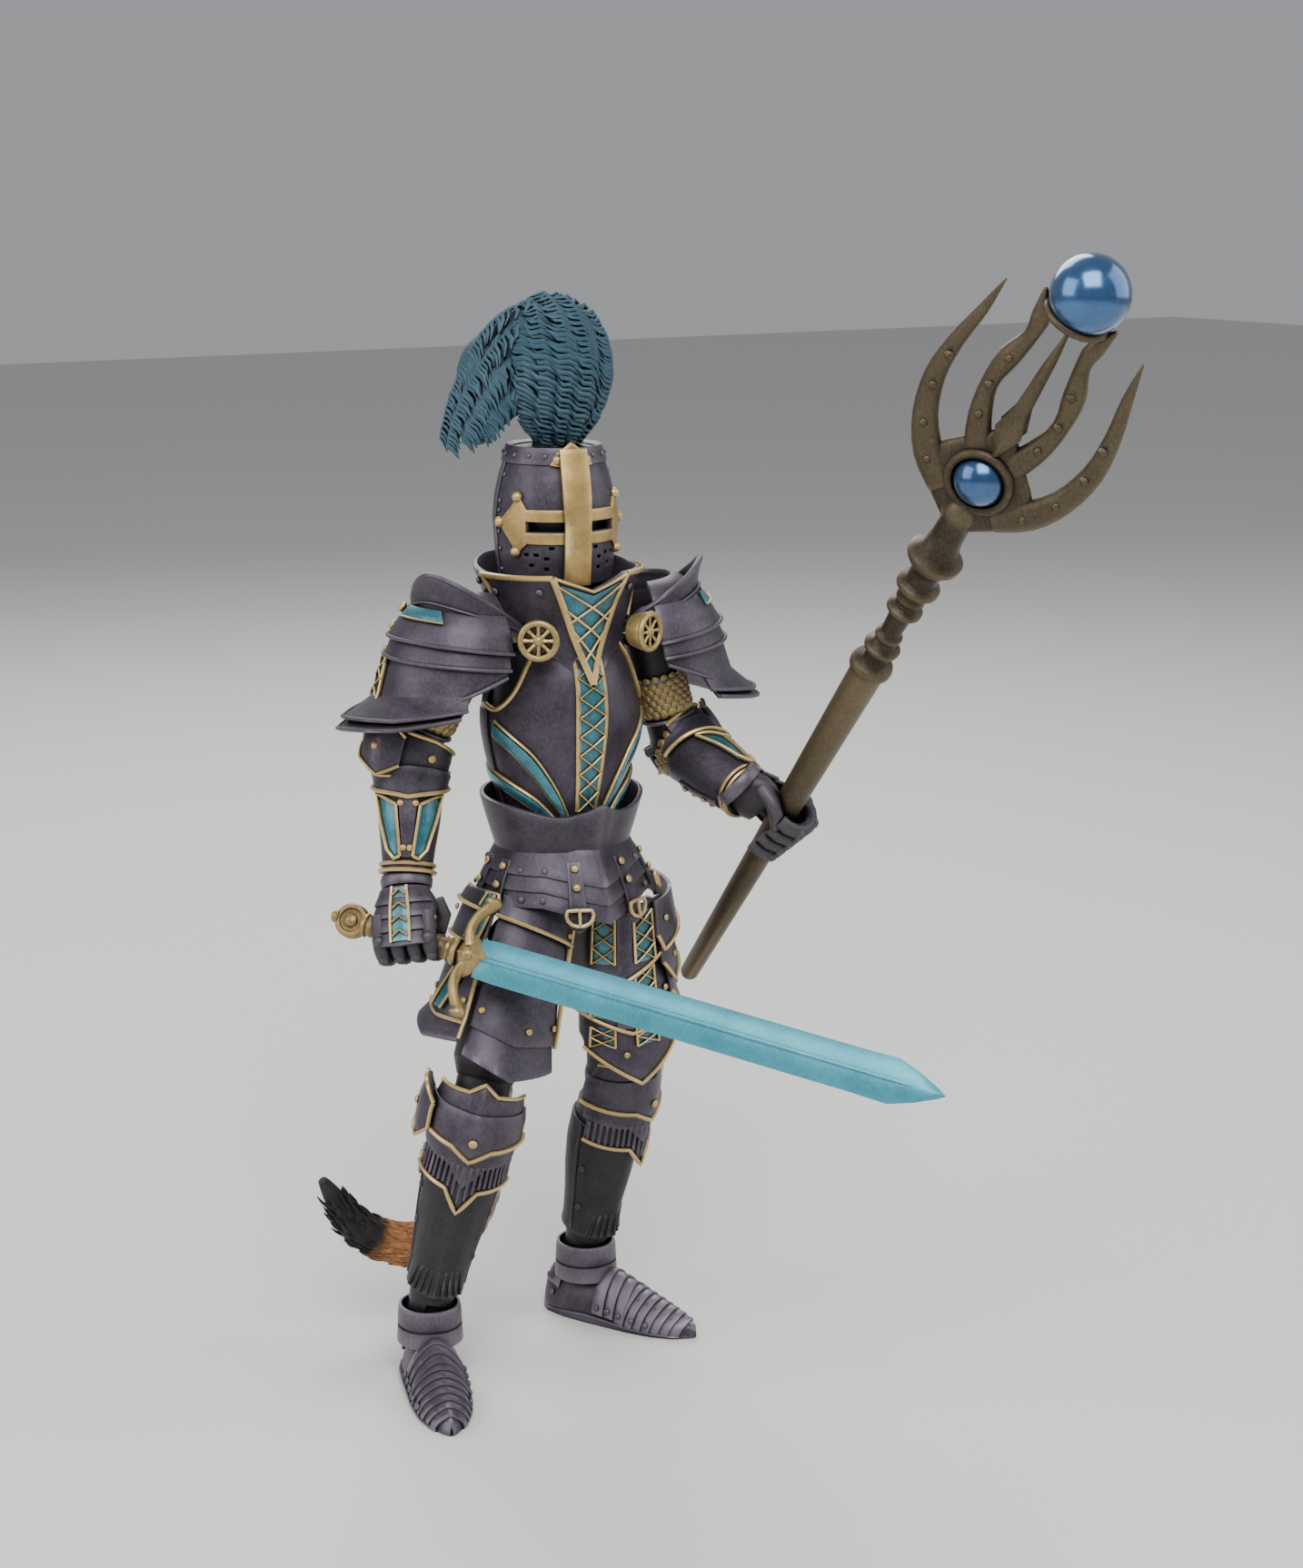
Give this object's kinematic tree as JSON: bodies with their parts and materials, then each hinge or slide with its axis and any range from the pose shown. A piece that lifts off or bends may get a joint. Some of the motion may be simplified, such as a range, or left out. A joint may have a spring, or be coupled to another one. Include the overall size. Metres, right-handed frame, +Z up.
{
  "type": "articulated knight action figure",
  "caption": "Posable armoured knight figure with plumed great helm, pauldrons, hinged skirt plates, spotted tail, broad sword and orb-tipped staff.",
  "frame": {"origin": "on the floor, under the centre of the bounding box of the figure as it stands at rest", "axes": "+Z up, the figure's pelvis faces -Y, +X is the figure's own left"},
  "size_m": [0.0772, 0.1389, 0.1997],
  "materials": {
    "armour": "pearl-painted dark plum plate, dry-brushed",
    "blade": "metallic teal paint",
    "bronze": "antique bronze paint",
    "fur": "sculpted fur, spotted and banded paint",
    "gold": "painted pale gold",
    "inner": "dark moulded joint plastic",
    "pearl": "metallic blue paint",
    "pin": "plain",
    "plume": "matte teal blue paint"
  },
  "bodies": {
    "pelvis": {"pelvis_block": "inner", "belt_lames": "armour", "belt_straps": "armour", "waist_guard": "armour"},
    "waist_ball": {"waist_peg": "inner"},
    "torso": {"torso_core": "inner", "chest_front": "armour", "chest_back": "armour", "gorget": "armour", "rosettes": "gold"},
    "neck_ball": {"neck_peg": "inner"},
    "head": {"head_core": "inner", "helmet_shell": "armour", "helmet_cross": "gold"},
    "plume": {"plume": "plume"},
    "tail": {"tail": "fur"},
    "shoulder_ball_R": {"shoulder_peg_R": "inner"},
    "upper_arm_R": {"upper_arm_R": "inner"},
    "elbow_R": {"elbow_disc_R": "inner", "elbow_pin_R": "pin", "couter_R": "armour"},
    "forearm_R": {"forearm_R": "inner", "vambrace_R": "armour"},
    "wrist_ball_R": {"wrist_peg_R": "inner"},
    "hand_R": {"hand_R": "armour"},
    "hip_ball_R": {"hip_peg_R": "inner"},
    "thigh_R": {"thigh_R": "armour"},
    "shin_R": {"greave_R": "armour", "knee_pin_R": "pin", "poleyn_R": "armour"},
    "ankle_ball_R": {"ankle_peg_R": "inner"},
    "foot_R": {"sabaton_R": "armour"},
    "tasset_front_R": {"tasset_front_R": "armour"},
    "tasset_side_R": {"tasset_side_R": "armour"},
    "pauldron_R": {"pauldron_R": "armour"},
    "shoulder_ball_L": {"shoulder_peg_L": "inner"},
    "upper_arm_L": {"upper_arm_L": "inner"},
    "elbow_L": {"elbow_disc_L": "inner", "elbow_pin_L": "pin", "couter_L": "armour"},
    "forearm_L": {"forearm_L": "inner", "vambrace_L": "armour"},
    "wrist_ball_L": {"wrist_peg_L": "inner"},
    "hand_L": {"hand_L": "armour"},
    "hip_ball_L": {"hip_peg_L": "inner"},
    "thigh_L": {"thigh_L": "armour"},
    "shin_L": {"greave_L": "armour", "knee_pin_L": "pin", "poleyn_L": "armour"},
    "ankle_ball_L": {"ankle_peg_L": "inner"},
    "foot_L": {"sabaton_L": "armour"},
    "tasset_front_L": {"tasset_front_L": "armour"},
    "tasset_side_L": {"tasset_side_L": "armour"},
    "pauldron_L": {"pauldron_L": "armour"},
    "sword": {"sword_hilt": "gold", "sword_blade": "blade"},
    "staff": {"staff_shaft": "bronze", "staff_head": "bronze", "staff_pearls": "pearl"}
  },
  "joints": [
    {"name": "waist_twist", "type": "hinge", "parent": "pelvis", "child": "waist_ball", "pos_m": [0.00276, 0.03915, 0.099], "axis": [0, 0, 1], "range_deg": [-35, 35]},
    {"name": "waist_bend", "type": "hinge", "parent": "waist_ball", "child": "torso", "pos_m": [0.00276, 0.03915, 0.099], "axis": [0.9945, -0.1045, 0], "range_deg": [-10, 10]},
    {"name": "neck_twist", "type": "hinge", "parent": "torso", "child": "neck_ball", "pos_m": [0.00291, 0.04065, 0.146], "axis": [0, 0, 1], "range_deg": [-60, 60]},
    {"name": "head_nod", "type": "hinge", "parent": "neck_ball", "child": "head", "pos_m": [0.00291, 0.04065, 0.146], "axis": [0.9781, -0.2079, 0], "range_deg": [-8, 8]},
    {"name": "plume_turn", "type": "hinge", "parent": "head", "child": "plume", "pos_m": [0.00312, 0.04162, 0.165], "axis": [0, 0, 1], "range_deg": [-20, 20]},
    {"name": "tail_swing", "type": "hinge", "parent": "pelvis", "child": "tail", "pos_m": [0.00276, 0.04435, 0.08], "axis": [0, 1, 0], "range_deg": [-8, 20]},
    {"name": "shoulder_swing_R", "type": "hinge", "parent": "torso", "child": "shoulder_ball_R", "pos_m": [-0.014, 0.04242, 0.1323], "axis": [-0.9945, 0.1045, 0], "range_deg": [-8, 26]},
    {"name": "shoulder_lift_R", "type": "hinge", "parent": "shoulder_ball_R", "child": "upper_arm_R", "pos_m": [-0.014, 0.04242, 0.1323], "axis": [0.1026, 0.9762, 0.1913], "range_deg": [0, 20]},
    {"name": "elbow_bend_R", "type": "hinge", "parent": "upper_arm_R", "child": "elbow_R", "pos_m": [-0.02244, 0.04705, 0.1132], "axis": [-0.8886, -0.3367, 0.3115], "range_deg": [-20, 40]},
    {"name": "forearm_turn_R", "type": "hinge", "parent": "elbow_R", "child": "forearm_R", "pos_m": [-0.02244, 0.04705, 0.1132], "axis": [-0.2179, -0.2876, -0.9326], "range_deg": [-14, 40]},
    {"name": "wrist_turn_R", "type": "hinge", "parent": "forearm_R", "child": "wrist_ball_R", "pos_m": [-0.02745, 0.04045, 0.0918], "axis": [-0.2179, -0.2876, -0.9326], "range_deg": [-18, 40]},
    {"name": "wrist_tilt_R", "type": "hinge", "parent": "wrist_ball_R", "child": "hand_R", "pos_m": [-0.02745, 0.04045, 0.0918], "axis": [0.9712, 0.0304, -0.2363], "range_deg": [-10, 15]},
    {"name": "hip_swing_R", "type": "hinge", "parent": "pelvis", "child": "hip_ball_R", "pos_m": [-0.00724, 0.03865, 0.0795], "axis": [-1, 0, 0], "range_deg": [-10, 36]},
    {"name": "hip_spread_R", "type": "hinge", "parent": "hip_ball_R", "child": "thigh_R", "pos_m": [-0.00724, 0.03865, 0.0795], "axis": [0, 0.9898, -0.1424], "range_deg": [0, 18]},
    {"name": "knee_bend_R", "type": "hinge", "parent": "thigh_R", "child": "shin_R", "pos_m": [-0.01775, 0.03455, 0.051], "axis": [0.8365, -0.494, -0.2371], "range_deg": [-10, 18]},
    {"name": "ankle_pitch_R", "type": "hinge", "parent": "shin_R", "child": "ankle_ball_R", "pos_m": [-0.02374, 0.04215, 0.014], "axis": [0.9277, -0.3064, -0.2134], "range_deg": [-15, 15]},
    {"name": "foot_turn_R", "type": "hinge", "parent": "ankle_ball_R", "child": "foot_R", "pos_m": [-0.02374, 0.04215, 0.014], "axis": [0.2026, -0.0669, 0.977], "range_deg": [-15, 15]},
    {"name": "tasset_front_lift_R", "type": "hinge", "parent": "pelvis", "child": "tasset_front_R", "pos_m": [-0.00624, 0.03215, 0.0846], "axis": [-1, 0, 0], "range_deg": [-10, 36]},
    {"name": "tasset_side_lift_R", "type": "hinge", "parent": "pelvis", "child": "tasset_side_R", "pos_m": [-0.01375, 0.03865, 0.0846], "axis": [0, 1, 0], "range_deg": [0, 18]},
    {"name": "pauldron_lift_R", "type": "hinge", "parent": "torso", "child": "pauldron_R", "pos_m": [-0.00781, 0.03624, 0.1355], "axis": [0.1045, 0.9945, 0], "range_deg": [0, 15]},
    {"name": "shoulder_swing_L", "type": "hinge", "parent": "torso", "child": "shoulder_ball_L", "pos_m": [0.01982, 0.03887, 0.1323], "axis": [-0.9945, 0.1045, 0], "range_deg": [-30, 45]},
    {"name": "shoulder_lift_L", "type": "hinge", "parent": "shoulder_ball_L", "child": "upper_arm_L", "pos_m": [0.01982, 0.03887, 0.1323], "axis": [-0.1045, -0.9939, 0.0357], "range_deg": [-3, 20]},
    {"name": "elbow_bend_L", "type": "hinge", "parent": "upper_arm_L", "child": "elbow_L", "pos_m": [0.02525, 0.03755, 0.1116], "axis": [-0.9667, -0.0522, -0.2506], "range_deg": [-40, 10]},
    {"name": "forearm_turn_L", "type": "hinge", "parent": "elbow_L", "child": "forearm_L", "pos_m": [0.02525, 0.03755, 0.1116], "axis": [0.1323, -0.9399, -0.3148], "range_deg": [-4, 40]},
    {"name": "wrist_turn_L", "type": "hinge", "parent": "forearm_L", "child": "wrist_ball_L", "pos_m": [0.02815, 0.01695, 0.1047], "axis": [0.1323, -0.9399, -0.3148], "range_deg": [-4, 30]},
    {"name": "wrist_tilt_L", "type": "hinge", "parent": "wrist_ball_L", "child": "hand_L", "pos_m": [0.02815, 0.01695, 0.1047], "axis": [0.7348, -0.1202, 0.6676], "range_deg": [-15, 15]},
    {"name": "hip_swing_L", "type": "hinge", "parent": "pelvis", "child": "hip_ball_L", "pos_m": [0.01276, 0.03865, 0.0795], "axis": [-1, 0, 0], "range_deg": [-12, 36]},
    {"name": "hip_spread_L", "type": "hinge", "parent": "hip_ball_L", "child": "thigh_L", "pos_m": [0.01276, 0.03865, 0.0795], "axis": [0, -0.9945, -0.1045], "range_deg": [-3, 12]},
    {"name": "knee_bend_L", "type": "hinge", "parent": "thigh_L", "child": "shin_L", "pos_m": [0.01476, 0.04175, 0.05], "axis": [0.9395, 0.3281, 0.0982], "range_deg": [-10, 45]},
    {"name": "ankle_pitch_L", "type": "hinge", "parent": "shin_L", "child": "ankle_ball_L", "pos_m": [0.01495, 0.05195, 0.014], "axis": [0.9123, 0.3927, 0.1163], "range_deg": [-15, 15]},
    {"name": "foot_turn_L", "type": "hinge", "parent": "ankle_ball_L", "child": "foot_L", "pos_m": [0.01495, 0.05195, 0.014], "axis": [-0.1069, -0.046, 0.9932], "range_deg": [-15, 15]},
    {"name": "tasset_front_lift_L", "type": "hinge", "parent": "pelvis", "child": "tasset_front_L", "pos_m": [0.01175, 0.03215, 0.0846], "axis": [-1, 0, 0], "range_deg": [-12, 36]},
    {"name": "tasset_side_lift_L", "type": "hinge", "parent": "pelvis", "child": "tasset_side_L", "pos_m": [0.01926, 0.03865, 0.0846], "axis": [0, -1, 0], "range_deg": [-3, 12]},
    {"name": "pauldron_lift_L", "type": "hinge", "parent": "torso", "child": "pauldron_L", "pos_m": [0.01248, 0.03411, 0.1355], "axis": [-0.1045, -0.9945, 0], "range_deg": [-2.25, 15]},
    {"name": "sword_turn", "type": "hinge", "parent": "hand_R", "child": "sword", "pos_m": [-0.02925, 0.03655, 0.0839], "axis": [0.613, -0.7669, -0.19], "range_deg": [-30, 45]},
    {"name": "staff_turn", "type": "hinge", "parent": "hand_L", "child": "staff", "pos_m": [0.03145, 0.01435, 0.1006], "axis": [-0.021, -0.6412, 0.7671], "range_deg": [-90, 90]}
  ],
  "couplings": [
    {"joint": "tasset_front_lift_R", "follows": "hip_swing_R", "ratio": 1},
    {"joint": "tasset_side_lift_R", "follows": "hip_spread_R", "ratio": 1},
    {"joint": "pauldron_lift_R", "follows": "shoulder_lift_R", "ratio": 0.75},
    {"joint": "tasset_front_lift_L", "follows": "hip_swing_L", "ratio": 1},
    {"joint": "tasset_side_lift_L", "follows": "hip_spread_L", "ratio": 1},
    {"joint": "pauldron_lift_L", "follows": "shoulder_lift_L", "ratio": 0.75}
  ]
}
